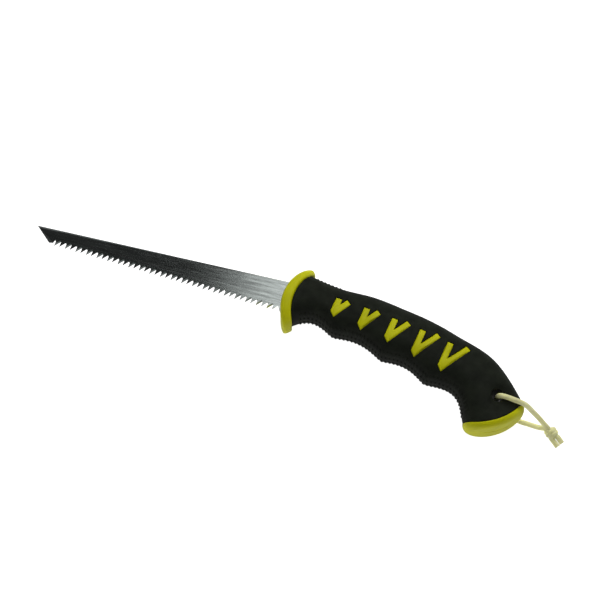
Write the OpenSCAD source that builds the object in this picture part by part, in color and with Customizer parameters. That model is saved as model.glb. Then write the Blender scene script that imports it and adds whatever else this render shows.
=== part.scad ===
// Drywall saw: a stiff pointed blade in a moulded pistol-curve handle.
// The saw lies on its right side.  +X runs to the butt, +Y to the back of the hand, +Z is up.
// The handle is drawn about a local origin: the front of the guard in X, the blade's spine in Y
// and the middle of the blade's thickness in Z.  in_frame() then moves it to the part's origin.

/* [Blade] */
// Length of blade that stands in front of the guard
blade_l = 156; // [120:1:200]
// Height of the blade at the guard, from the spine to the tooth points
heel_h = 20; // [17:0.5:22]
// Height of the blade at the first tooth, from the spine to the tooth points
tip_h = 10.4; // [8:0.2:14]
// Thickness of the blade
blade_t = 1.2; // [0.8:0.1:2]
// Distance from one tooth to the next
tooth_pitch = 3.36; // [2.5:0.02:4.5]
// Depth of a tooth
tooth_depth = 3.3; // [2:0.1:4]
// Length of the tang that is held in the handle, as a share of the handle's length
tang_share = 0.385; // [0.32:0.005:0.46]

/* [Handle] */
// Length of the handle from the guard's front to the butt
handle_l = 156; // [132:1:196]
// Width of the grip across its sides, at the palm
grip_w = 27.6; // [23:0.2:34]
// Thickness of the soft sleeve over the hard core
sleeve_t = 2.6; // [1.6:0.1:3.2]
// Depth of the two middle finger grooves
groove_depth = 3.7; // [2:0.1:5]
// Roundness of the grip's section, where 2 is an ellipse
section_power = 2.5; // [2:0.1:3.2]

/* [Guard and butt] */
// Height of the guard
guard_h = 42.6; // [36:0.2:46]
// How far the guard stands out beyond the grip on each side
guard_lip = 0.3; // [0.2:0.1:2]
// Thickness of the guard at its middle
guard_t = 6.6; // [5:0.1:9]
// Thickness of the butt cap
butt_t = 3.8; // [3:0.1:5]

/* [Chevron inlays] */
// Width of a chevron's arm
arm_w = 3.7; // [2.4:0.1:4]
// Depth of each inlay's face under the grip's surface
inlay_recess = 0.3; // [0.1:0.05:0.6]

/* [Lanyard] */
// Diameter of the lanyard cord
cord_d = 3.2; // [2:0.1:3.9]
// Diameter of the lanyard hole
hole_d = 7.6; // [6:0.1:9]

/* [Hidden] */
inlays = 5;

// Clearances
fit_gap = 0.1;            // between mouldings that are pushed together
seam_gap = 0.04;          // between the two core halves
reach = 200;              // longer than any cut needs to be

// Scale of the handle's side profile, which is drawn for a handle 156 long
side_k = handle_l / 156;

// Guard: an arched plate, thickest at its middle.  Each face is an arc with its own centre.
guard_w = grip_w + 2 * guard_lip;
guard_r = 28.4 * side_k;
guard_rear_r = 29.4 * side_k;
guard_c = [guard_r, -14.8 * side_k];
guard_rear_c = [guard_rear_r + guard_t, guard_c.y];
guard_half_turn = asin(guard_h / 2 / guard_r);
guard_lean = 11.4;         // turn of the plate's middle about guard_c, with its top end further back
guard_edge = 1.6;          // chamfer of its edges
guard_edge_share = 0.45;   // most that a chamfer takes of the plate's thickness
guard_power = 2.4;
guard_end_share = 0.2;     // width of the plate's end corners against its full width
guard_end_t = 0.6;         // thickness of the plate's ends against the thickness beside them
guard_steps = 28;

// Distance from guard_c to the plate's rear face at an angle about guard_c
function guard_rear_at(turn) =
    let (e = guard_c - guard_rear_c, along = e * [-cos(turn), sin(turn)])
    sqrt(along * along - e * e + guard_rear_r * guard_rear_r) - along;

// Corners of the guard's sections, from its lower end to its upper end
guard_verts = [for (k = [0:guard_steps])
    let (v = -cos(180 * k / guard_steps), turn = guard_lean + v * guard_half_turn)
    let (share = pow(1 - pow(abs(v), guard_power), 1 / guard_power))
    let (mid_r = (guard_rear_at(turn) + guard_r) / 2)
    let (t = (guard_r - mid_r) * (abs(v) == 1 ? guard_end_t : 1))
    let (w = guard_w / 2 * max(guard_end_share, share), e = min(guard_edge, t * 2 * guard_edge_share))
    let (r0 = mid_r - t, r1 = mid_r + t)
    each [for (p = [[r0, e - w], [r0, w - e], [r0 + e, w], [r1 - e, w],
                    [r1, w - e], [r1, e - w], [r1 - e, -w], [r0 + e, -w]])
        [guard_c.x - p.x * cos(turn), guard_c.y + p.x * sin(turn), p.y]]];

// Butt: arcs about one centre, facing along butt_turn
butt_c = [123.5, -30.4] * side_k;
butt_r = 36.4 * side_k;
butt_in_r = butt_r - butt_t;
butt_turn = -58;

// Part's box, which sets its origin
low_y = butt_c.y - butt_r;
high_y = max([for (p = guard_verts) p.y]);
mid_x = (handle_l - blade_l) / 2;
mid_y = (low_y + high_y) / 2;
mid_z = guard_w / 2;

module in_frame() {
    translate([-mid_x, -mid_y, mid_z]) children();
}

// ---- Handle's side profile: a back curve and a finger side with four grooves ----
// Back of the grip at every half station, from under the guard to past the butt
back_pts = [[3, 9], [18, 4.4], [34, 1.8], [54, 1.1], [73, -2], [90, -5.6],
            [107, -10.9], [132, -20.9], [153, -42], [163.5, -59.5]] * side_k;
// Crests between the finger grooves, one at each whole station
crest_pts = [[5, -29], [34, -27.2], [65.5, -34.9], [93.5, -43.1], [121.2, -62.5], [125.5, -82]] * side_k;
// Depth of each groove below the line between its crests
groove_depths = [7.3, groove_depth, groove_depth, 8.8, 0] * side_k;
// Half width of the grip at each whole station, as a share of grip_w
width_share = [0.5, 0.475, 0.5, 0.5, 0.435, 0.42];

last_station = 4.5;
rings_per_station = 10;
sides = 28;

function spline(p, t) =
    let (i = min(floor(t), len(p) - 2), f = t - i)
    let (a = p[max(i - 1, 0)], b = p[i], c = p[i + 1], d = p[min(i + 2, len(p) - 1)])
    ((2 * b) + (c - a) * f + (2 * a - 5 * b + 4 * c - d) * f * f
     + (3 * b - a - 3 * c + d) * f * f * f) / 2;

function back_at(t) = spline(back_pts, 2 * t);

function fingers_at(t) =
    let (i = min(floor(t), len(crest_pts) - 2), f = t - i)
    let (a = crest_pts[i], b = crest_pts[i + 1], along = (b - a) / norm(b - a))
    a + (b - a) * f + [-along.y, along.x] * groove_depths[i] * sin(180 * f);

function half_w_at(t) = grip_w * spline(width_share, t);

// Superellipse ordinate
function bulge(v) = sign(v) * pow(abs(v), 2 / section_power);

// Section of the grip at station t, shrunk all round by inset, from angle q0 to q1
function section(t, inset, q0, q1, count) =
    let (back = back_at(t), low = fingers_at(t), c = (back + low) / 2, d = (back - low) / 2)
    let (a = norm(d) - inset, u = d / norm(d), w = half_w_at(t) - inset)
    [for (j = [0:count - 1])
        let (q = q0 + (q1 - q0) * j / (q1 - q0 == 360 ? count : count - 1))
        [c.x + u.x * a * bulge(cos(q)), c.y + u.y * a * bulge(cos(q)), w * bulge(sin(q))]];

// Closed solid through the sections from station t0 to t1
module loft(t0, t1, inset = 0, half = false) {
    count = half ? sides / 2 + 1 : sides;
    rings = round((t1 - t0) * rings_per_station);
    points = [for (k = [0:rings])
        each section(t0 + (t1 - t0) * k / rings, inset, 0, half ? 180 : 360, count)];
    skin = [for (k = [0:rings - 1]) for (j = [0:count - 1])
        let (n = (j + 1) % count, a = k * count + j, b = k * count + n)
        each [[a, a + count, b + count], [a, b + count, b]]];
    ends = [[for (j = [0:count - 1]) j], [for (j = [count - 1:-1:0]) rings * count + j]];
    polyhedron(points, concat(skin, ends));
}

// ---- Cuts that the mouldings share ----
// Everything in front of the guard's rear face
module ahead_of(radius) {
    translate(guard_rear_c)
        linear_extrude(reach, center = true)
            difference() {
                translate([-reach, -reach / 2]) square([reach, reach]);
                circle(radius, $fn = 96);
            }
}

// Everything beyond the butt's seam
module beyond(radius) {
    translate(butt_c)
        rotate(butt_turn)
            linear_extrude(reach, center = true)
                difference() {
                    translate([0, -reach / 2]) square([reach, reach]);
                    circle(radius, $fn = 96);
                }
}

// Lanyard hole, and the round scoops that lead into it from both sides
hole_at = [137.6, -43.4] * side_k;
scoop_r = 15 * side_k;
scoop_depth = 3 + cord_d / 2;         // below the grip's palm width
scoop_shift = [4.5, -1] * side_k;     // from the hole towards the butt's rim, where the cord leaves
scoop_lining = 0.7;                   // sleeve's thickness under a scoop, against sleeve_t
lining_t = 1.2;                       // sleeve's thickness round the hole

module hole_bore(grow = 0) {
    translate(hole_at) cylinder(h = reach, d = hole_d + 2 * grow, center = true, $fn = 48);
}

module scoops(grow = 0) {
    for (side = [-1, 1])
        translate(concat(hole_at + scoop_shift, side * (grip_w / 2 + scoop_r - scoop_depth)))
            sphere(scoop_r + grow, $fn = 64);
}

// ---- Blade ----
tip_slope = 1.06;          // run of the cut-off tip against its drop
shoulder_x = 5;            // end of the blade's full height, inside the guard
tooth_rake = 0.45;         // how far a tooth point leans to the tip
tooth_back = 0.98;         // end of a tooth's sloping back, as a share of tooth_pitch
tip_share = 0.88;          // drop of the cut-off tip, as a share of tip_h
heel_flat = 1.4;           // plain length between the last tooth and the guard
heel_rise = 0.4;           // height of that plain edge above the line of tooth points
tang_l = handle_l * tang_share;
tang_root_h = 12.4 * side_k;
tang_end_h = 10 * side_k;
tang_drop = 2.6 * side_k;  // tang's top edge under the spine, at the shoulder
tang_fall = 6.4 * side_k;  // and how much lower it is at its end
pin_d = 4;
pin_l = 15;
pin_at = [[18, -10], [48, -13]] * side_k;

tip_drop = tip_h * tip_share;    // the cut-off tip ends in the first of the points
teeth_x0 = -blade_l + tip_drop * tip_slope + tooth_pitch;
teeth = floor((-heel_flat - teeth_x0) / tooth_pitch);
edge_fall = (heel_h - tip_h) / (-teeth_x0);

// Height of the line of tooth points at x
function points_y(x) = -tip_h - edge_fall * (x - teeth_x0);

function tooth_row() = [for (i = [0:teeth - 1])
    let (x = teeth_x0 + i * tooth_pitch)
    each [[x + tooth_rake, points_y(x) + tooth_depth],
          [x, points_y(x)],
          [x + tooth_pitch * tooth_back, points_y(x) + tooth_depth]]];

// Height of an edge of the tang at x, where it falls by the given drop over the tang's length
function tang_y(x, drop) = -tang_drop - drop * (x - shoulder_x) / (tang_l - shoulder_x);

// Tang's corners from x0, from its underside round to its top
function tang_points(x0, grow = 0) =
    let (x1 = tang_l + grow, under_fall = tang_fall + tang_end_h - tang_root_h)
    [[x0, tang_y(x0, under_fall) - tang_root_h - grow],
     [x1, tang_y(x1, under_fall) - tang_root_h - grow],
     [x1, tang_y(x1, tang_fall) + grow],
     [x0, tang_y(x0, tang_fall) + grow]];

module blade_outline() {
    row = tooth_row();
    tip_x = teeth_x0 - tooth_pitch;
    polygon(concat(
        [[-blade_l, 0], [tip_x, -tip_drop], [tip_x + tooth_pitch * tooth_back, row[0].y]],
        row,
        [[0, points_y(0) + heel_rise], [shoulder_x, points_y(shoulder_x) + heel_rise]],
        tang_points(shoulder_x),
        [[shoulder_x, 0]]));
}

module tang_outline(grow = 0) {
    polygon(tang_points(shoulder_x - 1, grow));
}

tip_bevel = 2.4;           // width of the ground edge across the tip
tip_land = 0.16;           // half of the edge's thickness after grinding

// Waste that is ground off one side along the cut-off tip
module tip_grind() {
    translate([-blade_l, 0, 0])
        rotate(-atan(1 / tip_slope))
            rotate([90, 0, 90])
                translate([0, 0, -tip_h])
                    linear_extrude(tip_h * 3)
                        polygon([[-1, tip_land], [0, tip_land], [tip_bevel, blade_t / 2],
                                 [tip_bevel, blade_t], [-1, blade_t]]);
}

module blade() {
    color("lightsteelblue")
        difference() {
            linear_extrude(blade_t, center = true) blade_outline();
            for (p = pin_at)
                translate(p) cylinder(h = blade_t * 3, d = pin_d + 2 * fit_gap, center = true, $fn = 32);
            tip_grind();
            mirror([0, 0, 1]) tip_grind();
        }
}

// ---- Pins through the tang ----
module tang_pin(i) {
    color("silver")
        translate(pin_at[i]) cylinder(h = pin_l, d = pin_d, center = true, $fn = 32);
}

// ---- Hard core, in two halves ----
module core_half() {
    color("gold")
        translate([0, 0, seam_gap / 2])
            difference() {
                loft(0, last_station, sleeve_t + fit_gap, half = true);
                ahead_of(guard_rear_r - fit_gap);
                beyond(butt_in_r - fit_gap);
                linear_extrude(blade_t + 2 * fit_gap, center = true) tang_outline(fit_gap);
                for (p = pin_at)
                    translate(p)
                        cylinder(h = pin_l + 2 * fit_gap, d = pin_d + fit_gap, center = true, $fn = 32);
                hole_bore(lining_t + fit_gap);
                scoops(sleeve_t * scoop_lining + fit_gap);
            }
}

module core_left() {
    core_half();
}

module core_right() {
    mirror([0, 0, 1]) core_half();
}

// ---- Soft sleeve over the core ----
module grip_sleeve() {
    color("dimgray")
        difference() {
            loft(0, last_station);
            difference() {
                loft(0, last_station, sleeve_t);
                hole_bore(lining_t);
                scoops(sleeve_t * scoop_lining);
            }
            ahead_of(guard_rear_r - fit_gap);
            beyond(butt_in_r - fit_gap);
            hole_bore();
            scoops();
            for (i = [1:inlays], side = [0, 1])
                mirror([0, 0, side]) linear_extrude(reach) chevron_outline(i, fit_gap);
        }
}

// ---- Guard and butt cap ----
butt_edge = 3.7;           // rounding round the butt's end face

// Guard plate, whose outline seen along the saw is a superellipse
module guard_plate() {
    rings = len(guard_verts) / 8 - 1;
    skin = [for (k = [0:rings - 1]) for (j = [0:7])
        let (n = (j + 1) % 8, a = k * 8 + j, b = k * 8 + n)
        each [[a, b, b + 8], [a, b + 8, a + 8]]];
    ends = [[for (j = [7:-1:0]) j], [for (j = [0:7]) rings * 8 + j]];
    polyhedron(guard_verts, concat(skin, ends));
}

module guard() {
    pocket_x = shoulder_x + fit_gap;
    color("gold")
        difference() {
            guard_plate();
            // Slot for the blade's heel and, behind it, the tang
            linear_extrude(blade_t + 2 * fit_gap, center = true)
                polygon(concat(
                    [[-guard_r, points_y(shoulder_x) - fit_gap], [pocket_x, points_y(shoulder_x) - fit_gap]],
                    tang_points(pocket_x, fit_gap),
                    [[pocket_x, fit_gap], [-guard_r, fit_gap]]));
        }
}

module butt_cap() {
    half_w = grip_w * width_share[4];
    color("gold")
        intersection() {
            loft(3.4, last_station);
            translate(butt_c)
                rotate(butt_turn - 90)
                    rotate_extrude(angle = 180, $fn = 96) {
                        translate([butt_in_r, -half_w])
                            square([butt_t - butt_edge, half_w * 2]);
                        translate([butt_in_r, -half_w + butt_edge])
                            square([butt_t, (half_w - butt_edge) * 2]);
                        for (side = [-1, 1])
                            intersection() {
                                translate([butt_r - butt_edge, side * (half_w - butt_edge)])
                                    circle(butt_edge, $fn = 48);
                                translate([butt_in_r, -half_w]) square([butt_t, half_w * 2]);
                            }
                    }
        }
}

// ---- Chevron inlays ----
inlay_step = 17.3;
left_arm_turn = 79;
right_arm_turn = 49;
apex_cut = [2.6, -3.4];    // from the left arm's corner to the right arm's corner

function chevron_at(i) = let (n = i - 1) [30.1 + inlay_step * n, -16 - 3.6 * n - 0.24 * n * n] * side_k;

// Two straight arms of unequal length that meet at a blunt point
module chevron_outline(i, grow = 0) {
    left_l = 9.1 + 1.65 * (i - 1);
    right_l = 12.9 + 2.3 * (i - 1);
    translate(chevron_at(i)) {
        rotate(left_arm_turn)
            translate([-grow, -arm_w - grow]) square([left_l + 2 * grow, arm_w + 2 * grow]);
        translate(apex_cut)
            rotate(right_arm_turn)
                translate([-grow, -grow]) square([right_l + 2 * grow, arm_w + 2 * grow]);
    }
}

module chevron(i) {
    first = 0.6 + 0.5 * (i - 1);
    last = first + 1.2;
    // Flat back that stands on the core where the core is widest
    back_z = max([for (t = [first:0.1:last]) half_w_at(t)]) - sleeve_t;
    color("gold")
        intersection() {
            loft(first, last, inlay_recess);
            translate([0, 0, back_z]) linear_extrude(reach) chevron_outline(i);
        }
}

// ---- Lanyard: a loop of cord through the hole, closed by an overhand knot ----
// The loop leaves the knot, goes over the butt, down through the hole, and back under the butt.
cord_k = cord_d / 3.2;     // scale of the knot and the tails, which are drawn for a cord 3.2 thick
knot_r = 4 * cord_k;
floor_gap = 0.2;           // between the cord and the floor that the saw lies on
rim_share = 0.42;          // height of the scoop's edge over the grip's middle, against grip_w
floor_z = -mid_z + cord_d / 2 + floor_gap;    // middle of a cord that lies on the floor
rim_z = grip_w * rim_share;                   // middle of a cord that lies over the scoop's edge
knot_at = [173.5 * side_k, -52.3 * side_k, -mid_z + knot_r + floor_gap];
// Plan places from the knot to the hole, with the cord's height as a share of its rise to the rim
over_pts = [[168, -49.3, 0.2], [163.5, -47.3, 0.4], [159, -45.7, 0.6], [155.5, -44.9, 0.8],
            [152, -44.8, 0.94], [147.5, -44.7, 1.02], [143, -43.9, 0.99]];
// Offsets from the hole's middle, down through it: above, inside and below
hole_pts = [[2.2, -0.1, rim_z - 1.3], [0.6, 0, rim_z - 4], [0.2, 0, 3.5], [0.2, 0, -3.5],
            [0.5, -0.1, floor_z + 4.8], [2, -0.5, floor_z + 1.9]];
// Plan places from the hole back to the knot, with the cord's height above the floor
under_pts = [[143.4, -45.3, 0.3], [148, -47.2, 0], [152.5, -48.8, 0], [159, -49.6, 0], [165, -50.2, 0.3]];
loop_pts = concat(
    [knot_at + [-3.4, 1.8, 3.2] * cord_k],
    [for (p = over_pts) [p.x * side_k, p.y * side_k, knot_at.z + (rim_z - knot_at.z) * p.z]],
    [for (p = hole_pts) [hole_at.x + p.x, hole_at.y + p.y, p.z]],
    [for (p = under_pts) [p.x * side_k, p.y * side_k, floor_z + p.z]],
    [knot_at + [-4.8, 1.2, -1.2] * cord_k]);
// Offsets of the two tails from the knot
tail_pts = [
    [for (p = [[4.3, -1.6, -0.6], [5.5, -2.5, -1.1], [6.6, -3.4, -1.5], [7.6, -4.4, -1.9]])
        knot_at + p * cord_k],
    [for (p = [[2.1, -4.2, -1.4], [3.3, -5.1, -1.7], [4.4, -6, -2.1], [5.5, -7, -2.3]])
        knot_at + p * cord_k]];
cord_sides = 8;
plane_normal = [0.25, 0.97, 0];    // of the upright plane that the cord stays near

// Tube along a smooth curve through hand-chosen points
module cord(points, rings) {
    at = [for (k = [0:rings]) spline(points, (len(points) - 1) * k / rings)];
    dirs = [for (k = [0:rings])
        let (d = at[min(k + 1, rings)] - at[max(k - 1, 0)]) d / norm(d)];
    // A cord that stays near one upright plane keeps its sides on that plane's normal
    verts = [for (k = [0:rings])
        let (side = cross(dirs[k], plane_normal), u = side / norm(side), v = cross(u, dirs[k]))
        each [for (j = [0:cord_sides - 1])
            let (q = 360 * j / cord_sides)
            at[k] + (u * cos(q) + v * sin(q)) * cord_d / 2]];
    skin = [for (k = [0:rings - 1]) for (j = [0:cord_sides - 1])
        let (n = (j + 1) % cord_sides, a = k * cord_sides + j, b = k * cord_sides + n)
        each [[a, b + cord_sides, a + cord_sides], [a, b, b + cord_sides]]];
    ends = [[for (j = [cord_sides - 1:-1:0]) j],
            [for (j = [0:cord_sides - 1]) rings * cord_sides + j]];
    polyhedron(verts, concat(skin, ends));
}

module lanyard_loop() {
    color("khaki") cord(loop_pts, 48);
}

module lanyard_knot() {
    color("khaki") translate(knot_at) sphere(knot_r, $fn = 32);
}

module lanyard_tails() {
    color("khaki") {
        cord(tail_pts[0], 8);
        cord(tail_pts[1], 8);
    }
}

in_frame() blade();
in_frame() tang_pin(0);  // tang_pin_front
in_frame() tang_pin(1);  // tang_pin_rear
in_frame() core_left();
in_frame() core_right();
in_frame() guard();
in_frame() butt_cap();
in_frame() grip_sleeve();
for (i = [1:inlays]) {
    in_frame() chevron(i);
    in_frame() mirror([0, 0, 1]) chevron(i);
}
in_frame() lanyard_loop();
in_frame() lanyard_knot();
in_frame() lanyard_tails();
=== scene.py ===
import math

import bmesh
import bpy
import numpy as np
from bpy.props import FloatProperty, FloatVectorProperty, IntProperty, PointerProperty
from mathutils import Matrix, Vector
from mathutils.bvhtree import BVHTree
from mathutils.geometry import delaunay_2d_cdt


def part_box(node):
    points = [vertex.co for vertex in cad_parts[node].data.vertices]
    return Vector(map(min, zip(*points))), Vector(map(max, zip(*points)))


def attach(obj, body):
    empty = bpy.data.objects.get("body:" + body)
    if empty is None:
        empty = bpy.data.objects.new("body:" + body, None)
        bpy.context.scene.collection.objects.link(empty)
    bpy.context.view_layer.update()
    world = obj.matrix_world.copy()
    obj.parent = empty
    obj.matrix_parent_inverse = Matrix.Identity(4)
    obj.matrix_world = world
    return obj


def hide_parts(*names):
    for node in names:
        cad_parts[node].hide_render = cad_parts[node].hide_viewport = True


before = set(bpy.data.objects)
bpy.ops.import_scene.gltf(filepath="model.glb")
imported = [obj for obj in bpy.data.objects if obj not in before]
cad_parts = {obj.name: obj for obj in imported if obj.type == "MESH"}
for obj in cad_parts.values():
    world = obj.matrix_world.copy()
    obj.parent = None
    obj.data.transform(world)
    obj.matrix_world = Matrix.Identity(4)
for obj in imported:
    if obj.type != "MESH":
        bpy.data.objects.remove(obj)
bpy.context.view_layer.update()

bl_info = {
    "name": "Drywall saw",
    "version": (1, 0, 0),
    "blender": (4, 5, 0),
    "location": "View3D > Sidebar > Drywall saw",
    "description": "Builds the looks of a drywall saw round its CAD frame",
    "category": "Object",
}

BODY = "root"
MM = 0.001

# ---------------------------------------------------------------------------------------------
# Places taken from the frame.  The handle is drawn about a local origin, as in the CAD: the
# guard's front in X, the blade's spine in Y and the middle of the blade's thickness in Z.
# ---------------------------------------------------------------------------------------------
blade_low, blade_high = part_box("blade")
guard_low, guard_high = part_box("guard")

BLADE_FRONT_L = 156.0                 # blade in front of the guard, mm
TANG_L = (blade_high.x - blade_low.x) / MM - BLADE_FRONT_L
BLADE_T = (blade_high.z - blade_low.z) / MM
GUARD_W = (guard_high.z - guard_low.z) / MM
ORIGIN = Vector((blade_low.x + BLADE_FRONT_L * MM, blade_high.y, (blade_low.z + blade_high.z) / 2))


def placed(x, y, z):
    """A local point in millimetres, as a point of the frame in metres."""
    return ORIGIN + Vector((x, y, z)) * MM


# ---------------------------------------------------------------------------------------------
# Shape of the handle, in millimetres about the local origin
# ---------------------------------------------------------------------------------------------
BACK_PTS = [(3, 9), (18, 4.4), (34, 1.8), (54, 1.1), (73, -2), (90, -5.6),
            (107, -10.9), (132, -20.9), (153, -42), (163.5, -59.5)]
CREST_PTS = [(5, -29), (34, -27.2), (65.5, -34.9), (93.5, -43.1), (121.2, -62.5), (125.5, -82)]
GROOVE_DEPTHS = [7.3, 3.7, 3.7, 8.8, 0]
GRIP_W = 27.6
WIDTH_SHARE = [0.5, 0.475, 0.5, 0.5, 0.435, 0.42]
SECTION_POWER = 2.5
LAST_STATION = 4.5
SLEEVE_T = 2.6
CREST_BLEND = 0.06                    # stations over which a crest between grooves is rounded

GUARD_R = 28.4
GUARD_C = (GUARD_R, -14.8)
GUARD_T = 6.6
GUARD_REAR_R = 29.4
GUARD_REAR_C = (GUARD_REAR_R + GUARD_T, -14.8)
GUARD_H = 42.6
GUARD_HALF_TURN = math.degrees(math.asin(GUARD_H / 2 / GUARD_R))
GUARD_LEAN = 11.4
GUARD_POWER = 2.4
GUARD_END_SOFT = 0.75                 # rounding of its ends against half of its thickness
SLOT_CLEAR = 0.15                     # round the blade in the guard's slot

BUTT_C = (123.5, -30.4)
BUTT_R = 36.4
BUTT_T = 3.8
BUTT_FACE_INSET = 11.4                # how far in from the skin the end face is drawn
SEAM = 0.12                           # gap between the mouldings

HOLE_AT = (137.6, -43.4)
SCOOP_AT = (142.1, -44.4)
SCOOP_R = 15.0
SCOOP_DEPTH = 4.6
SCOOP_SOFT = 2.2                      # how softly the scoop's rim is rounded
HOLE_R = 3.8
HOLE_REACH = 20                       # further than half of the grip's width

INLAYS = 5
CHEVRON_STEP = 17.3                   # from one chevron to the next, along the saw
LEFT_ARM_TURN = math.radians(79)
RIGHT_ARM_TURN = math.radians(49)
APEX_CUT = (2.6, -3.4)


def spline(points, t):
    """Point at t along a smooth curve through evenly numbered points or values."""
    p = np.asarray(points, float)
    i = int(min(max(math.floor(t), 0), len(p) - 2))
    f = t - i
    a, b, c, d = p[max(i - 1, 0)], p[i], p[i + 1], p[min(i + 2, len(p) - 1)]
    return (2 * b + (c - a) * f + (2 * a - 5 * b + 4 * c - d) * f * f
            + (3 * b - a - 3 * c + d) * f ** 3) / 2


def back_at(t):
    """Back of the grip at station t."""
    return spline(BACK_PTS, 2 * t)


def fingers_at(t):
    """Finger side of the grip at station t, with its grooves."""
    i = int(min(math.floor(t), len(CREST_PTS) - 2))
    f = t - i
    a, b = np.array(CREST_PTS[i], float), np.array(CREST_PTS[i + 1], float)
    along = (b - a) / np.linalg.norm(b - a)
    across = np.array((-along[1], along[0]))
    wave = math.sin(math.pi * f)
    soft = math.sin(math.pi * CREST_BLEND)
    wave = math.sqrt(wave * wave + soft * soft * 0.35) - soft * 0.2
    return a + (b - a) * f + across * GROOVE_DEPTHS[i] * wave


def half_width_at(t):
    """Half of the grip's width across its sides at station t."""
    return GRIP_W * float(spline(WIDTH_SHARE, t))


def superellipse(v, power):
    return math.copysign(abs(v) ** (2 / power), v)


def grip_point(t, q, inset=0.0):
    """Point of the grip's surface at station t and angle q, where q 0 is the back of the hand."""
    back, low = back_at(t), fingers_at(t)
    centre, half = (back + low) / 2, (back - low) / 2
    tall = float(np.linalg.norm(half))
    u = half / tall
    a, w = max(tall - inset, 0.01), max(half_width_at(t) - inset, 0.01)
    c = a * superellipse(math.cos(q), SECTION_POWER)
    return np.array((centre[0] + u[0] * c, centre[1] + u[1] * c,
                     w * superellipse(math.sin(q), SECTION_POWER)))


def station_where(test, low, high):
    """Station between low and high at which test turns from false to true."""
    for _ in range(26):
        mid = (low + high) / 2
        if test(mid):
            high = mid
        else:
            low = mid
    return high


def from_centre(point, centre):
    return math.hypot(point[0] - centre[0], point[1] - centre[1])


def side_height(x, y, inset=0.0):
    """Half width of the grip at a plan point: how far its side stands from the middle plane."""
    def passed(t):
        back, low = back_at(t), fingers_at(t)
        line = back - low
        return line[0] * (y - low[1]) - line[1] * (x - low[0]) > 0
    t = station_where(passed, 0.02, LAST_STATION)
    back, low = back_at(t), fingers_at(t)
    centre, half = (back + low) / 2, (back - low) / 2
    tall = float(np.linalg.norm(half)) - inset
    across = abs(float(np.dot((x, y) - centre, half / np.linalg.norm(half)))) / tall
    w = half_width_at(t) - inset
    return w * max(1 - across ** SECTION_POWER, 0) ** (1 / SECTION_POWER)


def scooped(x, y, z):
    """Height of the side at a plan point once the round scoop by the lanyard hole is pressed in."""
    reach = from_centre((x, y), SCOOP_AT)
    if reach > SCOOP_R:
        return z
    floor = GRIP_W / 2 + SCOOP_R - SCOOP_DEPTH - math.sqrt(SCOOP_R ** 2 - reach ** 2)
    gap = max(SCOOP_SOFT - abs(abs(z) - floor), 0) / SCOOP_SOFT
    return math.copysign(min(abs(z), floor) - gap * gap * SCOOP_SOFT / 4, z)


# ---------------------------------------------------------------------------------------------
# User settings
# ---------------------------------------------------------------------------------------------
class BladeSettings(bpy.types.PropertyGroup):
    tooth_pitch: FloatProperty(name="Tooth pitch", description="Distance from tooth to tooth",
                               default=0.00336, unit="LENGTH")
    tooth_depth: FloatProperty(name="Tooth depth", description="Depth of the gullets",
                               default=0.0033, unit="LENGTH")
    heel_height: FloatProperty(name="Heel height", description="Height at the guard, with teeth",
                               default=0.020, unit="LENGTH")
    tip_height: FloatProperty(name="Tip height", description="Height at the first tooth",
                              default=0.0104, unit="LENGTH")
    bevel: FloatProperty(name="Tooth bevel", description="Width of the ground edge on the teeth",
                         default=0.00075, unit="LENGTH")
    steel: FloatVectorProperty(name="Steel", description="Colour of the blade's flat",
                               subtype="COLOR", size=3, min=0, max=1, default=(0.44, 0.48, 0.465))


class GripSettings(bpy.types.PropertyGroup):
    rings: IntProperty(name="Rings", description="Sections along the sleeve", default=250, min=60)
    sides: IntProperty(name="Sides", description="Points round the sleeve", default=112, min=32)
    rubber: FloatVectorProperty(name="Rubber", description="Colour of the soft sleeve",
                                subtype="COLOR", size=3, min=0, max=1, default=(0.0080, 0.0098, 0.0062))
    rib_pitch: FloatProperty(name="Rib pitch", description="Distance between the grip ribs",
                             default=0.0024, unit="LENGTH")
    rib_height: FloatProperty(name="Rib height", description="How far a grip rib stands up",
                              default=0.0006, unit="LENGTH")


class TrimSettings(bpy.types.PropertyGroup):
    yellow: FloatVectorProperty(name="Yellow", description="Colour of the guard, butt and inlays",
                                subtype="COLOR", size=3, min=0, max=1, default=(0.53, 0.53, 0.004))
    edge: FloatProperty(name="Guard edge", description="Rounding of the guard's edges",
                        default=0.0020, unit="LENGTH")
    butt_edge: FloatProperty(name="Butt edge", description="Rounding round the butt's end face",
                             default=0.0036, unit="LENGTH")


class InlaySettings(bpy.types.PropertyGroup):
    arm_width: FloatProperty(name="Arm width", description="Width of a chevron's arm",
                             default=0.0037, unit="LENGTH")
    recess: FloatProperty(name="Recess", description="How far an inlay lies under the sleeve",
                          default=0.0003, unit="LENGTH")
    gap: FloatProperty(name="Gap", description="Gap between an inlay and its window",
                       default=0.00028, unit="LENGTH")


class LanyardSettings(bpy.types.PropertyGroup):
    diameter: FloatProperty(name="Diameter", description="Thickness of the cord",
                            default=0.0032, unit="LENGTH")
    milky: FloatVectorProperty(name="Cord", description="Colour of the milky cord",
                               subtype="COLOR", size=3, min=0, max=1, default=(0.90, 0.88, 0.47))


class StageSettings(bpy.types.PropertyGroup):
    distance: FloatProperty(name="Camera distance", description="From the saw's middle",
                            default=1.5, unit="LENGTH")
    azimuth: FloatProperty(name="Azimuth", description="Camera's turn round the saw, in degrees",
                           default=13.56)
    elevation: FloatProperty(name="Elevation", description="Camera's height, in degrees",
                             default=70.0)
    field: FloatProperty(name="Field", description="Width seen at the saw", default=0.36,
                         unit="LENGTH")


# ---------------------------------------------------------------------------------------------
# Small tools for node materials
# ---------------------------------------------------------------------------------------------
FINISH_PREFIX = "saw_"                 # keeps these apart from the frame's own materials


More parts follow.
